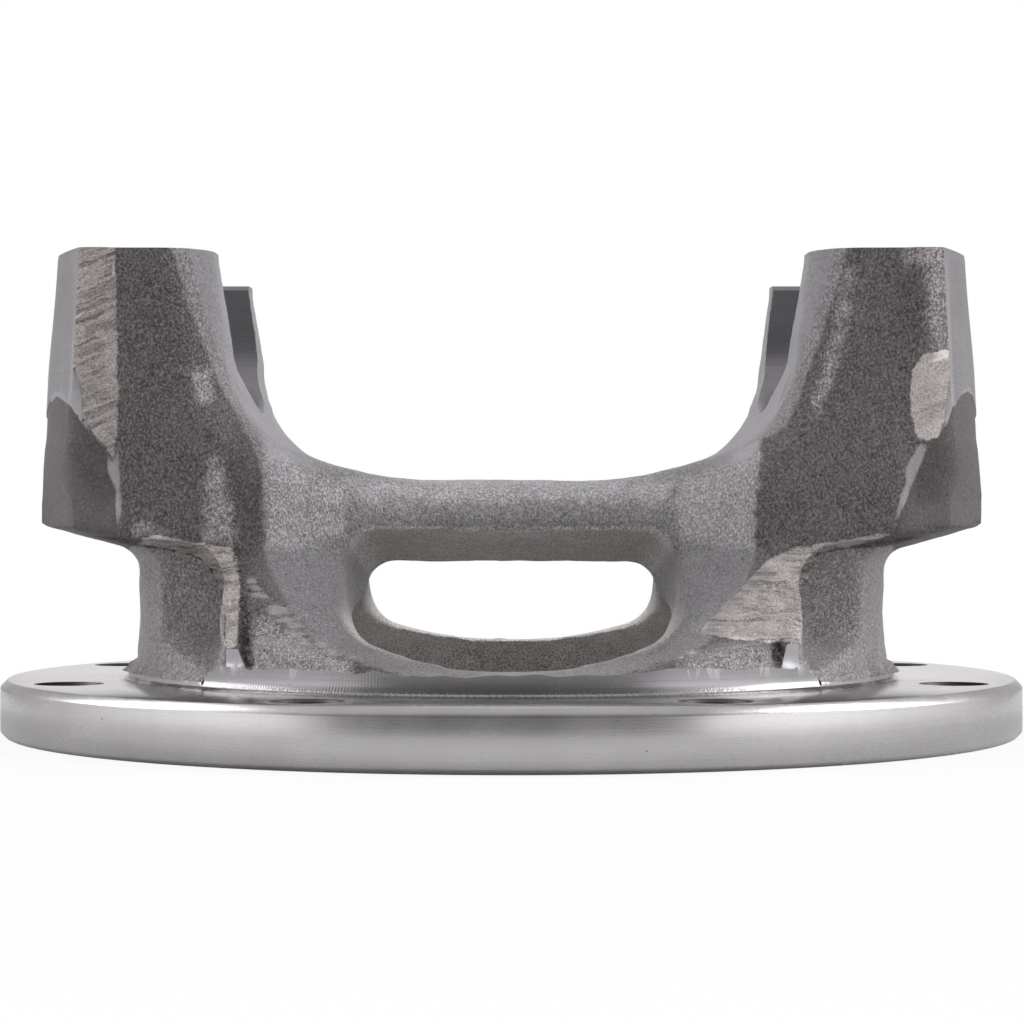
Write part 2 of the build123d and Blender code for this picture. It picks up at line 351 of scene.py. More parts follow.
def raw_blank():
    """The CAD body without its flange and with its seats filled, as one dense even mesh."""
    node = bpy.data.objects["flange_yoke"]
    bm = bmesh.new()
    bm.from_mesh(node.data)
    bmesh.ops.remove_doubles(bm, verts=bm.verts, dist=2e-6)
    bmesh.ops.scale(bm, vec=(1 / MM, 1 / MM, 1 / MM), verts=bm.verts)
    blank = new_object("forged_body", bm)
    bm = bmesh.new()
    lathe(bm, [(66.0, -5), (100, -5), (100, 9.6), (66.0, 9.6)], 256)
    cut(blank, new_object("flange_off", bm))
    # Stock in the seats, on the ears' outer faces, in the strap holes and along the hub ring's foot
    bm = bmesh.new()
    ear = [
        (43.4, 54.0), (44.2, 57.0), (45.8, 61.0), (46.8, 65.0), (48.8, SEAT_HEIGHT),
        (72.0, SEAT_HEIGHT), (72.0, 54.0),
    ]
    for side in (-1, 1):
        prism(bm, ear, -27.0, 27.0, lambda u, v, w: (side * u, w, v))
        angles = [math.radians(-19.5 + 1.5 * i) for i in range(27)]
        inner = [(68.0 * math.cos(a), 68.0 * math.sin(a)) for a in angles]
        outer = [(78.4 * math.cos(a), 78.4 * math.sin(a)) for a in reversed(angles)]
        prism(bm, inner + outer, 54.0, SEAT_HEIGHT, lambda u, v, w: (side * u, v, w))
        for y in (-STRAP_HOLE_Y, STRAP_HOLE_Y):
            plug = [(0, 54.0), (4.9, 54.0), (4.9, SEAT_HEIGHT), (0, SEAT_HEIGHT)]
            lathe(bm, plug, 32, (side * STRAP_HOLE_X, y))
    for middle in (90, 270):
        foot = [(62.0, 8.4), (68.3, 8.4), (68.3, 10.2), (66.3, 12.6), (62.0, 12.6)]
        lathe_arc(bm, foot, middle - 45.2, middle + 45.2, 96)
    lathe(bm, [(63.0, 8.6), (67.0, 8.6), (67.0, 10.0), (65.4, 10.5), (63.0, 10.5)], 256)
    filler = new_object("filler", bm)
    select_only(blank)
    filler.select_set(True)
    bpy.ops.object.join()
    remesh = blank.modifiers.new("remesh", "REMESH")
    remesh.mode = "VOXEL"
    remesh.voxel_size = SKIN_VOXEL * MM
    apply_modifiers(blank)
    return blank


def ramp(value, low, high):
    t = min(1.0, max(0.0, (value - low) / (high - low)))
    return t * t * (3 - 2 * t)


def turned_edge(azimuth, side):
    """Height at which the turned face of an ear gives way to forged skin, by angle round from the middle."""
    table = {
        "near": [
            (0, 52.8), (8, 53.2), (14, 54.8), (18.5, 57.0), (20.3, 57.4), (23.1, 56.6), (26, 54.8),
            (28.5, 52.5), (60, 52),
        ],
        "far": [
            (0, 52.6), (6, 52.8), (13, 54.0), (18, 56.0), (21.3, 56.6), (24.7, 56.0), (27, 54.4),
            (30, 52.3), (60, 52),
        ],
    }["near" if side > 0 else "far"]
    for (a0, z0), (a1, z1) in zip(table, table[1:]):
        if azimuth <= a1:
            return z0 + (z1 - z0) * (azimuth - a0) / (a1 - a0)
    return table[-1][1]


def forge(blank):
    """Moves the points from the drawn shape to that of a raw forging, with stock left where it is machined."""
    mesh = blank.data
    normals = [vert.normal.copy() for vert in mesh.vertices]
    for vert, normal in zip(mesh.vertices, normals):
        x, y, z = (c / MM for c in vert.co)
        point = Vector((x, y, z))
        radius = math.hypot(x, y)
        azimuth = math.degrees(math.atan2(abs(y), abs(x)))
        wave = noise.noise(point / 23.0) * 0.28 + noise.noise(point / 9.0 + Vector((7, 3, 1))) * 0.14
        pits = noise.noise(point / 3.4) * 0.09 + noise.noise(point / 1.7 + Vector((0, 9, 4))) * 0.05
        inside = ramp(radius, 61.0, 59.0) * ramp(z, 20.0, 14.0)
        skirt = ramp(z, 19.0, 15.0) * ramp(radius, 62.0, 64.0)
        lumps = skirt * noise.noise(point / 4.6 + Vector((2, 5, 8))) * 0.4
        shift = normal * (wave + pits + lumps)
        point += shift * (1 - 0.6 * inside)
        # Stock for the turned outer faces of the ears
        if radius > 73.5 and z > 38.0 and azimuth < 33:
            side = 1 if (x > 0) == (y < 0) else -1
            edge = turned_edge(azimuth, side) + noise.noise(Vector((azimuth / 4.0, side * 5.0, 0))) * 0.7
            stock = max(-0.15, min(1.4, (z - edge) * 0.4 - 0.1))
            target = turned_limit(z) + stock + ramp(z, 50.4, 46.0) * 0.35 + pits * 0.5
            outward = ramp(normal.x * x + normal.y * y, 0.35 * radius, 0.75 * radius)
            blend = outward * ramp(z, 39.0, 46.0) * ramp(azimuth, 32, 27.0)
            flat = math.hypot(point.x, point.y)
            grown = flat + (target - flat) * blend
            point.x *= grown / flat
            point.y *= grown / flat
        # Stock for the turned hub ring, on the skirts and beside the columns
        if radius > 63.0 and z < 27.0:
            front = ramp(azimuth, 45.5, 47.5) if z < 20.0 else 0.0
            column = ramp(azimuth, 42.5, 39.0)
            stock = front * (2.4 * ramp(z, 12.5, 11.5) - 0.4)
            ragged = noise.noise(point / 2.2 + Vector((1, 4, 2)))
            coarse = noise.noise(point / 1.3 + Vector((3, 1, 6)))
            bead = ramp(z, 12.4, 11.2) * (0.5 + 1.0 * ragged + 0.7 * coarse)
            stock += column * (bead - 0.7 * ramp(z, 27.0, 19.0) * ramp(z, 10.8, 12.4))
            flat = math.hypot(point.x, point.y)
            point.x *= (flat + stock) / flat
            point.y *= (flat + stock) / flat
        # The open groove between the front web and the columns
        if 12 < z < 34 and radius > 55:
            px, py = front_point(x, y, z)
            groove = max(depth_inside(outline, px, py) for outline in SHADED_GAPS)
            point -= normal * (0.9 * ramp(groove, -2.0, 4.0))
        # Stock on the ear tops
        if z > 78.6:
            point.z += 1.6
        vert.co = point * MM
    mesh.update()
    group = blank.vertex_groups.new(name="flares")
    for vert in mesh.vertices:
        x, y, z = (c / MM for c in vert.co)
        if 8 < z < 48:
            px, py = front_point(x, y, z)
            weight = max(ramp(depth_inside(outline, px, py), 0.0, 14.0) for outline in SOFT)
            weight = max(weight, 0.85 * ramp(math.hypot(x, y), 63.2, 61.8) * ramp(z, 28.0, 24.0))
            if weight > 0:
                group.add([vert.index], weight, "REPLACE")
    soften = blank.modifiers.new("soften", "SMOOTH")
    soften.factor = 0.5
    soften.iterations = 40
    soften.vertex_group = group.name
    apply_modifiers(blank)


def machine(body):
    """The cuts that leave bare metal: ear tops, seats, turned ears, hub ring, underside and strap holes."""
    def cutter(name, bm, slot):
        obj = new_object(name, bm)
        obj.data.materials.append(bpy.data.materials[slot])
        return obj

    bm = bmesh.new()
    prism(bm, [(-95, -60), (95, -60), (95, 60), (-95, 60)], SEAT_HEIGHT, SEAT_HEIGHT + 20, lambda u, v, w: (u, v, w))
    cut(body, cutter("top_mill", bm, "milled_steel"))
    bm = bmesh.new()
    break_edge = 0.8
    side = (SEAT_RADIUS ** 2 - break_edge ** 2) ** 0.5
    start = math.asin(break_edge / SEAT_RADIUS)
    steps = 96
    outline = []
    for i in range(steps + 1):
        angle = -math.pi + start + (math.pi - 2 * start) * i / steps
        outline.append((SEAT_RADIUS * math.cos(angle), SEAT_HEIGHT + SEAT_RADIUS * math.sin(angle)))
    mouth = side + break_edge
    outline += [(mouth, SEAT_HEIGHT), (mouth, 90), (-mouth, 90), (-mouth, SEAT_HEIGHT)]
    prism(bm, outline, -95, 95, lambda u, v, w: (w, u, v))
    cut(body, cutter("seat_bore", bm, "bored_steel"))
    bm = bmesh.new()
    lathe(bm, [
        (turned_limit(TURNED_STOP) + 0.1, TURNED_STOP), (100, TURNED_STOP - 12), (100, 90), (turned_limit(90), 90),
    ], 384)
    cut(body, cutter("ear_turning", bm, "turned_steel"))
    bm = bmesh.new()
    floor = FLANGE_TOP - 0.15
    fillet_radius = 2.2
    turns = [math.radians(a) for a in (0, 15, 30, 45, 60, 75, 90)]
    fillet = [
        (HUB_RADIUS + fillet_radius - fillet_radius * math.sin(a), floor + fillet_radius - fillet_radius * math.cos(a))
        for a in turns
    ]
    lathe(bm, [(100, floor)] + fillet[:4] + [(HUB_RADIUS + 0.55, 10.6), (100, 10.6)], 384)
    cut(body, cutter("foot_turning", bm, "turned_steel"))
    bm = bmesh.new()
    for middle in (90, 270):
        lathe_arc(bm, [(100, floor)] + fillet + [(HUB_RADIUS, 15.2), (100, 15.2)], middle - 47.5, middle + 47.5, 128)
    cut(body, cutter("hub_turning", bm, "hub_steel"))
    bm = bmesh.new()
    prism(bm, [(-95, -95), (95, -95), (95, 95), (-95, 95)], -20, 2.7, lambda u, v, w: (u, v, w))
    cut(body, cutter("face_off", bm, "turned_steel"))
    bm = bmesh.new()
    for i in (-1, 1):
        for j in (-1, 1):
            profile = [(0, 82), (5.5, 82), (5.0, SEAT_HEIGHT + 0.1), (STRAP_HOLE_RADIUS, SEAT_HEIGHT - 0.65)]
            for k in range(15):
                crest = SEAT_HEIGHT - STRAP_THREAD_PITCH * k
                profile += [(4.62, crest - 1.2), (STRAP_HOLE_RADIUS, crest - 1.85)]
            profile += [(STRAP_HOLE_RADIUS, 57.4), (0, 54.8)]
            lathe(bm, profile, 40, (i * STRAP_HOLE_X, j * STRAP_HOLE_Y))
    cut(body, cutter("strap_taps", bm, "drilled_steel"))


def paint_masks(body):
    """Stores for each point how far inside each kind of surface and each patch of painted light and shade it lies, so
    that the shader can fray the borders, and how much painted fill light it gets.
    """
    mesh = body.data
    layers = {}
    kinds = (
        ("land", LANDS), ("steps", LIT_LEDGES), ("flare", FLARES), ("corner", CORNERS), ("core", CORE), ("pale_and_lit", PALE_AND_LIT),
        ("lit", LIT), ("ridge", RIDGES), ("bare", BARE), ("shaded_flank", SHADED_FLANKS), ("column", LIT_COLUMNS), ("shaded_gap", SHADED_GAPS),
        ("shade", SHADE),
    )
    for name, outlines in kinds:
        boxes = [(o, min(p[0] for p in o) - 20, max(p[0] for p in o) + 20) for o in outlines]
        layers[name] = ([], boxes)
    least = {"core": -0.6, "corner": -0.6, "shaded_gap": 0.4}
    hidden_fill_light = []
    for vert in mesh.vertices:
        x, y, z = (c / MM for c in vert.co)
        px, py = front_point(x, y, z)
        facing = -vert.normal.y if y < 0 else vert.normal.y
        for name, (values, boxes) in layers.items():
            best = -20.0
            if facing > least.get(name, 0.05):
                for outline, low, high in boxes:
                    if low < px < high:
                        best = max(best, depth_inside(outline, px, py))
            values.append(max(-20.0, min(20.0, best)) / 20.0)
        radius = math.hypot(x, y)
        inward = -(vert.normal.x * x + vert.normal.y * y) / radius
        # Painted fill light: faces inside the hub hollow and faces turned down are painted lighter
        inner = ramp(radius, 64.5, 62.5) * ramp(z, 24.0, 18.0) * ramp(inward, -0.1, 0.2)
        below = ramp(vert.normal.z, -0.2, -0.6) * ramp(z, 22.0, 26.0) * ramp(abs(x), 48.0, 42.0)
        hidden_fill_light.append(max(inner, below))
    layers["hidden_fill_light"] = (hidden_fill_light, None)
    for name, (values, _) in layers.items():
        attribute = mesh.attributes.new(name, "FLOAT", "POINT")
        attribute.data.foreach_set("value", values)


# Shader helpers

class Nodes:
    """Adds nodes to a tree and joins them in one go."""

    def __init__(self, tree):
        self.tree = tree

    def put(self, kind, inputs=None, **options):
        node = self.tree.nodes.new(kind)
        for key, value in options.items():
            setattr(node, key, value)
        for key, value in (inputs or {}).items():
            socket = node.inputs[key]
            if isinstance(value, bpy.types.NodeSocket):
                self.tree.links.new(value, socket)
            else:
                socket.default_value = value
        return node

    def math(self, operation, a, b=0.0, c=0.0, clamp=False):
        return self.put("ShaderNodeMath", {0: a, 1: b, 2: c}, operation=operation, use_clamp=clamp).outputs[0]

    def span(self, value, low, high, to_low=0.0, to_high=1.0):
        node = self.put("ShaderNodeMapRange", {0: value, 1: low, 2: high, 3: to_low, 4: to_high})
        node.interpolation_type = "SMOOTHSTEP"
        return node.outputs[0]

    def mix(self, factor, a, b):
        node = self.put("ShaderNodeMix", data_type="RGBA")
        for socket, value in ((node.inputs[0], factor), (node.inputs[6], a), (node.inputs[7], b)):
            if isinstance(value, bpy.types.NodeSocket):
                self.tree.links.new(value, socket)
            else:
                socket.default_value = value
        return node.outputs[2]

    def noise(self, vector, scale, detail=3.0, roughness=0.55, distortion=0.0):
        return self.put("ShaderNodeTexNoise", {
            "Vector": vector, "Scale": scale, "Detail": detail, "Roughness": roughness, "Distortion": distortion,
        }).outputs["Fac"]


def new_group(name, inputs, outputs):
    group = bpy.data.node_groups.new(name, "ShaderNodeTree")
    for label, kind, value in inputs:
        socket = group.interface.new_socket(label, in_out="INPUT", socket_type=kind)
        if value is not None:
            socket.default_value = value
    for label, kind in outputs:
        group.interface.new_socket(label, in_out="OUTPUT", socket_type=kind)
    n = Nodes(group)
    entry = n.put("NodeGroupInput")
    leave = n.put("NodeGroupOutput")
    return n, entry.outputs, leave.inputs


def scale_group():
    """Forging scale: mottled grey-brown skin with coarse grain, small pits and dark specks, by place in millimetres."""
    n, given, made = new_group("forging_scale", [
        ("Position", "NodeSocketVector", None),
        ("Dark", "NodeSocketColor", (0.1, 0.1, 0.1, 1)),
        ("Light", "NodeSocketColor", (0.3, 0.3, 0.3, 1)),
        ("Grain", "NodeSocketFloat", 1.0),
        ("Mottle", "NodeSocketFloat", 1.0),
    ], [("Color", "NodeSocketColor"), ("Roughness", "NodeSocketFloat"), ("Height", "NodeSocketFloat")])
    place = given["Position"]
    stretched = n.put("ShaderNodeMapping", {
        "Vector": place, "Rotation": (0.0, 0.35, 0.0), "Scale": (1.0, 1.0, 0.8),
    }).outputs[0]
    cloud = n.noise(place, 0.06, 3.0, 0.6)
    blotch = n.noise(place, 0.32, 4.0, 0.65, 0.4)
    grain = n.noise(stretched, 2.7, 4.0, 0.72)
    fine = n.noise(place, 5.5, 2.0, 0.5)
    fleck = n.span(n.noise(place, 2.3, 2.0, 0.7), 0.6, 0.68)
    coarse = n.noise(stretched, 0.7, 2.0, 0.5)
    specks = n.put("ShaderNodeTexVoronoi", {"Vector": place, "Scale": 0.5, "Randomness": 1.0}).outputs["Distance"]
    speck = n.span(specks, 0.04, 0.2, 1.0, 0.0)
    bright = n.span(grain, 0.5, 0.7)
    dark = n.span(grain, 0.5, 0.32)
    tone = n.math("MULTIPLY_ADD", n.math("SUBTRACT", cloud, 0.5), 0.5, 0.4)
    tone = n.math("MULTIPLY_ADD", n.math("SUBTRACT", blotch, 0.5), n.math("MULTIPLY", given["Mottle"], 0.6), tone)
    tone = n.math("MULTIPLY_ADD", bright, n.math("MULTIPLY", given["Grain"], 1.1), tone)
    tone = n.math("MULTIPLY_ADD", dark, n.math("MULTIPLY", given["Grain"], -0.42), tone)
    tone = n.math("MULTIPLY_ADD", n.math("SUBTRACT", fine, 0.5), n.math("MULTIPLY", given["Grain"], 1.35), tone)
    tone = n.math("MULTIPLY_ADD", n.math("MULTIPLY", fleck, given["Grain"]), 0.35, tone)
    tone = n.math("MULTIPLY_ADD", speck, -0.3, tone, clamp=True)
    color = n.mix(tone, given["Dark"], given["Light"])
    rough = n.math("MULTIPLY_ADD", n.math("SUBTRACT", blotch, 0.5), 0.3, 0.47, clamp=True)
    height = n.math("MULTIPLY", n.math("SUBTRACT", grain, 0.5), 0.5)
    height = n.math("MULTIPLY_ADD", n.math("SUBTRACT", coarse, 0.5), 0.45, height)
    height = n.math("MULTIPLY_ADD", n.math("SUBTRACT", fine, 0.5), 0.12, height)
    height = n.math("MULTIPLY_ADD", speck, -0.2, height)
    height = n.math("MULTIPLY", height, given["Grain"])
    n.tree.links.new(color, made["Color"])
    n.tree.links.new(rough, made["Roughness"])
    n.tree.links.new(height, made["Height"])


def tooling_group():
    """Turned or milled metal: fine irregular lines along one coordinate, in millimetres, and faint stains."""
    n, given, made = new_group("tooling_lines", [
        ("Along", "NodeSocketFloat", 0.0),
        ("Position", "NodeSocketVector", None),
        ("Color", "NodeSocketColor", (0.5, 0.5, 0.5, 1)),
        ("Depth", "NodeSocketFloat", 1.0),
    ], [("Color", "NodeSocketColor"), ("Roughness", "NodeSocketFloat"), ("Height", "NodeSocketFloat")])
    line = n.put("ShaderNodeTexNoise", {"W": given["Along"], "Scale": 4.5, "Detail": 3.0, "Roughness": 0.7},
                 noise_dimensions="1D").outputs["Fac"]
    broad = n.put("ShaderNodeTexNoise", {"W": given["Along"], "Scale": 0.7, "Detail": 2.0, "Roughness": 0.6},
                  noise_dimensions="1D").outputs["Fac"]
    stain = n.noise(given["Position"], 0.08, 4.0, 0.62)
    spots = n.put("ShaderNodeTexVoronoi", {
        "Vector": given["Position"], "Scale": 0.16, "Randomness": 1.0,
    }).outputs["Distance"]
    spot = n.span(spots, 0.035, 0.02)
    dirt = n.noise(given["Position"], 0.9, 3.0, 0.6)
    tone = n.math("MULTIPLY_ADD", n.math("SUBTRACT", line, 0.5), 0.2, 1.0)
    tone = n.math("MULTIPLY_ADD", n.math("SUBTRACT", broad, 0.5), 0.12, tone)
    tone = n.math("MULTIPLY_ADD", n.math("SUBTRACT", stain, 0.5), 0.3, tone)
    tone = n.math("MULTIPLY_ADD", n.span(dirt, 0.62, 0.75), -0.12, tone)
    tone = n.math("MULTIPLY_ADD", spot, -0.5, tone)
    grey = n.put("ShaderNodeCombineColor", {0: tone, 1: tone, 2: tone}).outputs[0]
    node = n.put("ShaderNodeMix", data_type="RGBA", blend_type="MULTIPLY")
    node.inputs[0].default_value = 1.0
    n.tree.links.new(given["Color"], node.inputs[6])
    n.tree.links.new(grey, node.inputs[7])
    rough = n.math("MULTIPLY_ADD", n.math("SUBTRACT", stain, 0.5), 0.2, 0.26)
    rough = n.math("MULTIPLY_ADD", n.math("SUBTRACT", line, 0.5), 0.08, rough, clamp=True)
    height = n.math("MULTIPLY", n.math("SUBTRACT", line, 0.5), 0.012)
    height = n.math("MULTIPLY", height, given["Depth"])
    n.tree.links.new(node.outputs[2], made["Color"])
    n.tree.links.new(rough, made["Roughness"])
    n.tree.links.new(height, made["Height"])


def position_mm(n):
    """Object coordinates in millimetres."""
    coordinates = n.put("ShaderNodeTexCoord").outputs["Object"]
    return n.put("ShaderNodeVectorMath", {0: coordinates, "Scale": 1000.0}, operation="SCALE").outputs[0]


def finish_material(n, color, roughness, height, metallic, roughness_shift=0.0):
    surface = n.tree.nodes["Principled BSDF"]
    bump = n.put("ShaderNodeBump", {"Height": height, "Distance": MM, "Strength": 1.0})
    if roughness_shift:
        roughness = n.math("ADD", roughness, roughness_shift, clamp=True)
    values = {"Base Color": color, "Roughness": roughness, "Normal": bump.outputs[0], "Metallic": metallic}
    for socket, value in values.items():
        if isinstance(value, bpy.types.NodeSocket):
            n.tree.links.new(value, surface.inputs[socket])
        else:
            surface.inputs[socket].default_value = value


def machined_material(name, axis, color, metallic, depth=1.0, shift=0.0, chatter=0.0):
    """Bare machined steel. The lines follow a height, the distance along the trunnion, or a radius."""
    material = bpy.data.materials.new(name)
    material.use_nodes = True
    n = Nodes(material.node_tree)
    place = position_mm(n)
    parts = n.put("ShaderNodeSeparateXYZ", {0: place}).outputs
    radius = n.math("SQRT", n.math("MULTIPLY_ADD", parts[0], parts[0], n.math("MULTIPLY", parts[1], parts[1])))
    along = {
        "height": parts[2],
        "trunnion": parts[0],
        "turned": n.math("SUBTRACT", radius, parts[2]),
    }[axis]
    group = n.put("ShaderNodeGroup", node_tree=bpy.data.node_groups["tooling_lines"])
    for socket, value in (("Along", along), ("Position", place)):
        n.tree.links.new(value, group.inputs[socket])
    group.inputs["Color"].default_value = (*color, 1)
    group.inputs["Depth"].default_value = depth
    height = group.outputs["Height"]
    if chatter:
        # Short upright ribs that the tool leaves where it chatters
        angle = n.math("ARCTAN2", parts[1], parts[0])
        ribs = n.math("SINE", n.math("MULTIPLY", angle, CHATTER_RIBS))
        patchy = n.span(n.noise(place, 0.07, 2.0, 0.5), 0.42, 0.58)
        height = n.math("MULTIPLY_ADD", n.math("MULTIPLY", ribs, patchy), chatter, height)
    finish_material(n, group.outputs["Color"], group.outputs["Roughness"], height, metallic, shift)


def forged_material():
    """The forging's skin, with sheared lands, smooth flares, lighter patches, and painted light and shade where the
    masks say.
    """
    material = bpy.data.materials.new("forged_skin")
    material.use_nodes = True
    n = Nodes(material.node_tree)
    place = position_mm(n)
    parts = n.put("ShaderNodeSeparateXYZ", {0: place}).outputs
    fray = n.math("SUBTRACT", n.noise(place, 0.5, 4.0, 0.65), 0.5)

    def mask(name, amount, soft):
        stored = n.put("ShaderNodeAttribute", attribute_name=name).outputs["Fac"]
        value = n.math("MULTIPLY_ADD", fray, amount, stored)
        return n.span(value, -soft, soft)

    land = mask("land", 0.42, 0.05)
    ledges = n.put("ShaderNodeMapping", {"Vector": place, "Scale": (0.25, 0.25, 1.1)}).outputs[0]
    ledge = n.math("SUBTRACT", n.noise(ledges, 1.0, 2.0, 0.5), 0.5)
    steps = n.put("ShaderNodeAttribute", attribute_name="steps").outputs["Fac"]
    steps = n.span(n.math("MULTIPLY_ADD", ledge, 1.3, steps), -0.12, 0.25)
    flare = mask("flare", 0.5, 0.3)
    corner = mask("corner", 0.2, 0.1)
    core = mask("core", 0.55, 0.14)
    pale_and_lit = mask("pale_and_lit", 0.9, 0.4)
    lit = mask("lit", 0.9, 0.4)
    ridge = mask("ridge", 0.25, 0.07)
    bare = mask("bare", 0.08, 0.03)
    shaded_flank = mask("shaded_flank", 0.12, 0.06)
    column = mask("column", 0.2, 0.06)
    shaded_gap = n.math("MULTIPLY", mask("shaded_gap", 0.8, 0.14), n.span(n.noise(place, 1.9, 3.0, 0.7), 0.6, 0.48))
    shade_mask = mask("shade", 1.0, 0.4)
    hidden_fill_light = n.put("ShaderNodeAttribute", attribute_name="hidden_fill_light").outputs["Fac"]
    skin = n.put("ShaderNodeGroup", node_tree=bpy.data.node_groups["forging_scale"])
    n.tree.links.new(place, skin.inputs["Position"])
    dark = n.mix(core, (0.07, 0.062, 0.063, 1), (0.2, 0.192, 0.2, 1))
    # Painted light: a lighter dark colour on the columns' recessed faces
    dark = n.mix(column, dark, (0.29, 0.272, 0.278, 1))
    # Painted fill light: lighter colours for faces inside the hub hollow and faces turned down
    dark = n.mix(hidden_fill_light, dark, (0.26, 0.245, 0.235, 1))
    light = n.mix(core, (0.33, 0.31, 0.315, 1), (0.6, 0.585, 0.6, 1))
    # Painted shade on the ears' lower outer sides: a darker light colour there
    light = n.mix(shaded_flank, light, (0.2, 0.184, 0.187, 1))
    # Painted light: a lighter light colour on the columns' recessed faces
    light = n.mix(column, light, (0.85, 0.81, 0.815, 1))
    light = n.mix(hidden_fill_light, light, (0.85, 0.82, 0.79, 1))
    n.tree.links.new(dark, skin.inputs["Dark"])
    n.tree.links.new(light, skin.inputs["Light"])
    smooth = n.math("MAXIMUM", n.math("MULTIPLY", flare, 0.5), corner)
    calm = n.math("MULTIPLY", n.span(smooth, 0.0, 1.0, 1.0, 0.72), n.span(core, 0.0, 1.0, 1.0, 0.98))
    n.tree.links.new(n.math("MULTIPLY", calm, n.span(shaded_flank, 0.0, 1.0, 1.2, 0.7)), skin.inputs["Grain"])
    # Sheared metal shows slanting score lines under a fine grain
    slant = n.math("ADD", parts[2], n.math("MULTIPLY", parts[0], -0.42))
    low = n.span(parts[2], 38.0, 34.0)
    slant = n.math("MULTIPLY_ADD", n.math("MULTIPLY", parts[0], low), 0.42, slant)
    bent = n.math("MULTIPLY_ADD", n.noise(place, 0.45, 2.0, 0.5), 1.6, slant)
    scores = n.put("ShaderNodeTexNoise", {"W": bent, "Scale": 1.25, "Detail": 3.0, "Roughness": 0.75},
                   noise_dimensions="1D").outputs["Fac"]
    broken = n.math("MULTIPLY", n.math("SUBTRACT", scores, 0.5), n.span(n.noise(place, 0.35, 2.0, 0.5), 0.3, 0.6))
    grit = n.noise(place, 3.3, 2.5, 0.6)
    quarter = n.span(n.math("MULTIPLY", parts[0], parts[1]), 40.0, -40.0)
    plain = n.math("MULTIPLY", quarter, n.math("SUBTRACT", 1.0, low))
    broken = n.math("MULTIPLY", broken, n.span(plain, 0.0, 1.0, 1.0, 0.35))
    bright_land = n.math("MAXIMUM", quarter, low)
    tan_tone = n.math("MULTIPLY_ADD", bright_land, 0.22, 0.48)
    tan_tone = n.math("MULTIPLY_ADD", n.math("SUBTRACT", grit, 0.5), 2.2, tan_tone)
    tan_tone = n.math("MULTIPLY_ADD", broken, 2.6, tan_tone, clamp=True)
    tan = n.mix(tan_tone, (0.25, 0.225, 0.21, 1), (0.84, 0.785, 0.755, 1))
    color = n.mix(land, skin.outputs["Color"], tan)
    # Painted highlight on the pale ledges along the flares' edges
    color = n.mix(n.math("MULTIPLY", steps, 0.5), color, (0.88, 0.84, 0.82, 1))
    smooth_tone = n.mix(n.noise(place, 0.2, 3.0, 0.6), (0.31, 0.302, 0.32, 1), (0.44, 0.43, 0.452, 1))
    color = n.mix(n.math("MULTIPLY", smooth, 0.55), color, smooth_tone)
    # Brighter skin: real lighter patches, and painted light on the skirts and on the lit patches
    gain = n.math("MULTIPLY_ADD", pale_and_lit, 1.6, n.math("MULTIPLY_ADD", lit, 0.5, 1.0))
    # Painted fill light raises the faces inside the hub hollow and the faces turned down
    gain = n.math("MULTIPLY_ADD", hidden_fill_light, 0.5, gain)
    # Painted shade: the columns' outer sides are darker low down
    outer_shade = n.math("MULTIPLY", n.span(n.math("ABSOLUTE", parts[0]), 53.0, 60.0), n.span(parts[2], 36.0, 31.0))
    gain = n.math("MULTIPLY_ADD", outer_shade, -0.28, gain)
    color = n.put("ShaderNodeVectorMath", {0: color, "Scale": gain}, operation="SCALE").outputs[0]
    color = n.mix(n.math("MULTIPLY", ridge, 0.65), color, (0.7, 0.675, 0.68, 1))
    color = n.mix(n.math("MULTIPLY", shade_mask, 0.3), color, (0.1, 0.093, 0.098, 1))
    # Painted shade: near black in the grooves between the web and the columns
    color = n.mix(n.math("MULTIPLY", shaded_gap, 0.92), color, (0.02, 0.018, 0.018, 1))
    color = n.mix(bare, color, (0.4, 0.395, 0.41, 1))
    rough = n.math("MULTIPLY_ADD", smooth, 0.03, skin.outputs["Roughness"])
    rough = n.math("MULTIPLY_ADD", bare, -0.15, rough, clamp=True)
    height = n.math("MULTIPLY", skin.outputs["Height"], n.span(n.math("MAXIMUM", land, bare), 0.0, 1.0, 1.0, 0.1))
    score_height = n.math("MULTIPLY_ADD", broken, 1.5, n.math("MULTIPLY", n.math("SUBTRACT", grit, 0.5), 0.4))
    height = n.math("MULTIPLY_ADD", score_height, land, height)
    metallic = n.span(n.math("MAXIMUM", n.math("MAXIMUM", land, bare), smooth), 0.0, 1.0, 0.35, 0.55)
    finish_material(n, color, rough, height, metallic)


def add_materials():
    scale_group()
    tooling_group()
    forged_material()
    machined_material("turned_steel", "height", (0.45, 0.443, 0.458), 1.0, depth=0.35)
    machined_material("flange_steel", "turned", (0.56, 0.55, 0.555), 1.0, depth=0.35)
    machined_material("hub_steel", "height", (0.33, 0.323, 0.332), 1.0, chatter=0.008)
    machined_material("bored_steel", "height", (0.3, 0.293, 0.305), 0.9, depth=2.0)
    machined_material("drilled_steel", "height", (0.12, 0.11, 0.105), 0.8, depth=2.0, shift=0.15)
    machined_material("milled_steel", "trunnion", (0.5, 0.49, 0.5), 1.0)


# Studio

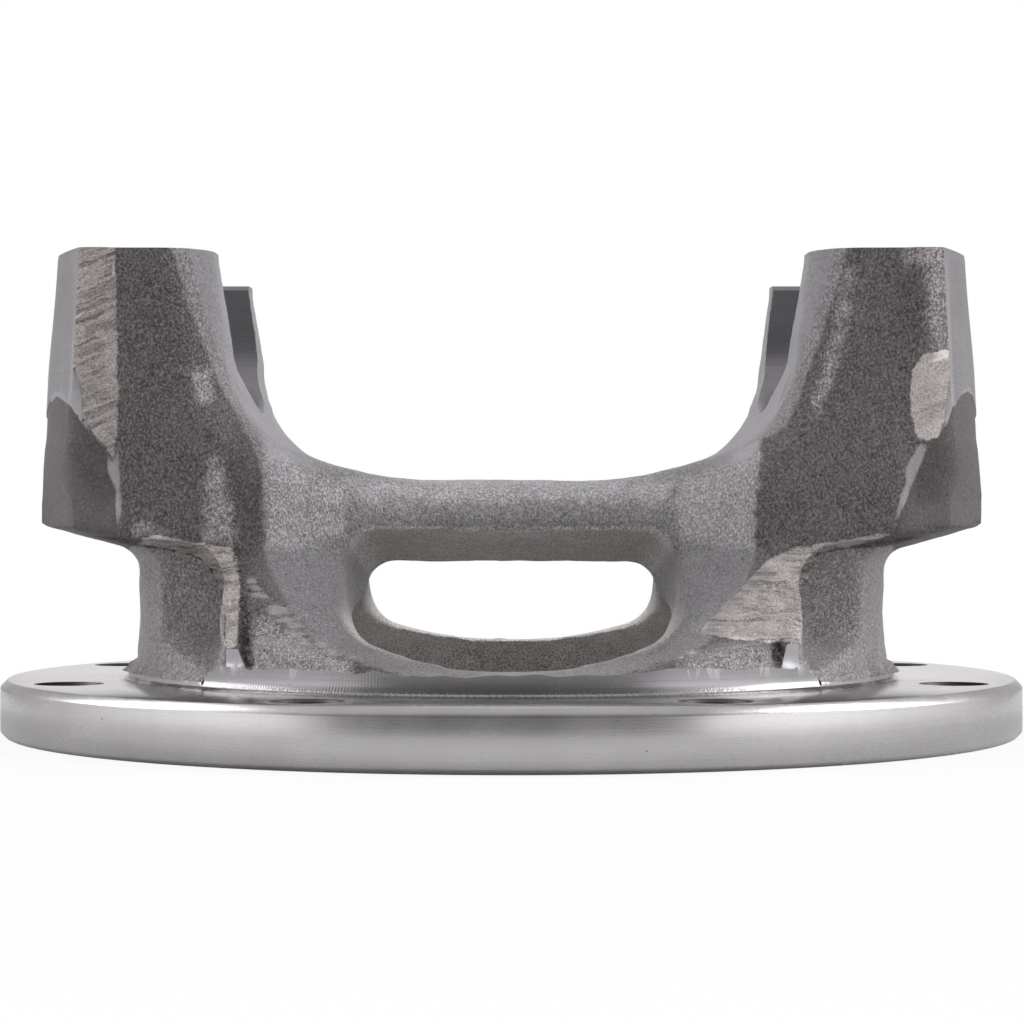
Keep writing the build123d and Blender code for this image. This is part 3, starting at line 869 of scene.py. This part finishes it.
def add_floor():
    """A plain white floor that keeps a soft part of the shadow."""
    bpy.ops.mesh.primitive_circle_add(vertices=96, radius=6.0, fill_type="NGON", location=(0, 0, 0))
    floor = bpy.context.object
    floor.name = "floor"
    material = bpy.data.materials.new("floor_paper")
    material.use_nodes = True
    n = Nodes(material.node_tree)
    n.tree.nodes.remove(n.tree.nodes["Principled BSDF"])
    output = n.tree.nodes["Material Output"]
    place = position_mm(n)
    distance = n.put("ShaderNodeVectorMath", {0: place}, operation="LENGTH").outputs["Value"]
    keep = n.span(distance, 110.0, 330.0, 0.12, 0.0)
    diffuse = n.put("ShaderNodeBsdfDiffuse", {"Color": (0.95, 0.95, 0.95, 1)})
    glow = n.put("ShaderNodeEmission", {"Color": (1, 1, 1, 1), "Strength": 1.0})
    seen = n.put("ShaderNodeMixShader", {0: keep, 1: glow.outputs[0], 2: diffuse.outputs[0]})
    light_path = n.put("ShaderNodeLightPath").outputs
    camera_ray = light_path["Is Camera Ray"]
    white = n.put("ShaderNodeBsdfDiffuse", {"Color": (0.8, 0.8, 0.8, 1)})
    final = n.put("ShaderNodeMixShader", {0: camera_ray, 1: white.outputs[0], 2: seen.outputs[0]})
    n.tree.links.new(final.outputs[0], output.inputs["Surface"])
    floor.data.materials.append(material)
    return floor


def add_world():
    """White to the camera. For the object's light it is a studio with bright sides and a dark camera end."""
    world = bpy.data.worlds.new("studio")
    bpy.context.scene.world = world
    world.use_nodes = True
    n = Nodes(world.node_tree)
    background = n.tree.nodes["Background"]
    direction = n.put("ShaderNodeTexCoord").outputs["Generated"]
    parts = n.put("ShaderNodeSeparateXYZ", {0: direction}).outputs
    flat = n.math("SQRT", n.math("MULTIPLY_ADD", parts[0], parts[0], n.math("MULTIPLY", parts[1], parts[1])))
    toward = n.math("DIVIDE", n.math("MULTIPLY", parts[1], -1.0), n.math("MAXIMUM", flat, 0.001))
    ramp_node = n.put("ShaderNodeValToRGB", {0: n.math("MULTIPLY_ADD", toward, 0.5, 0.5)})
    stops = [
        (0.0, 0.7), (0.012, 0.66), (0.035, 0.3), (0.1, 0.3), (0.25, 0.5),
        (0.5, 0.8), (0.72, 1.02), (0.86, 0.92), (0.93, 0.62), (1.0, 0.6),
    ]
    elements = ramp_node.color_ramp.elements
    while len(elements) < len(stops):
        elements.new(0.5)
    for element, (position, level) in zip(elements, stops):
        element.position = position
        element.color = (level, level, level, 1)
    around = n.math("MULTIPLY", ramp_node.outputs[0], 1.5)
    around = n.math("MULTIPLY", around, n.math("MULTIPLY_ADD", parts[0], 0.08, 1.0))
    up = n.span(parts[2], 0.35, 0.9)
    level = n.math("ADD", n.math("MULTIPLY", around, n.math("SUBTRACT", 1.0, up)), n.math("MULTIPLY", up, 0.62))
    aside = n.math("ABSOLUTE", n.math("ADD", parts[0], 0.02))
    slot = n.math("MULTIPLY", n.span(aside, 0.68, 0.62), n.span(parts[1], -0.2, -0.38))
    level = n.math("MULTIPLY", level, n.math("MULTIPLY_ADD", slot, -0.74, 1.0))
    light = n.put("ShaderNodeCombineColor", {0: level, 1: n.math("MULTIPLY", level, 0.98), 2: level}).outputs[0]
    camera_ray = n.put("ShaderNodeLightPath").outputs["Is Camera Ray"]
    color = n.mix(camera_ray, light, (1, 1, 1, 1))
    n.tree.links.new(color, background.inputs["Color"])
    background.inputs["Strength"].default_value = 1.0


def add_softbox(name, location, size, power):
    bpy.ops.object.light_add(type="AREA", location=location)
    lamp = bpy.context.object
    lamp.name = name
    lamp.data.shape = "RECTANGLE"
    lamp.data.size, lamp.data.size_y = size
    lamp.data.energy = power
    aim = Vector((0, 0, 0.04)) - Vector(location)
    lamp.rotation_euler = aim.to_track_quat("-Z", "Y").to_euler()


def main():
    bpy.context.scene.view_settings.view_transform = "Standard"
    add_camera()
    add_materials()
    flange = add_flange()
    body = raw_blank()
    body.data.materials.clear()
    body.data.materials.append(bpy.data.materials["forged_skin"])
    forge(body)
    machine(body)
    paint_masks(body)
    shade(body, 40)
    for piece in (flange, body):
        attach(piece, "root")
        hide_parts("flange_yoke")
        print(piece.name, sum(len(p.vertices) - 2 for p in piece.data.polygons), "triangles")
    add_floor()
    add_world()
    add_softbox("left_softbox", (-0.9, 0.25, 0.75), (0.5, 0.7), 4)
    add_softbox("right_softbox", (0.9, 0.1, 0.7), (0.5, 0.7), 5)


main()
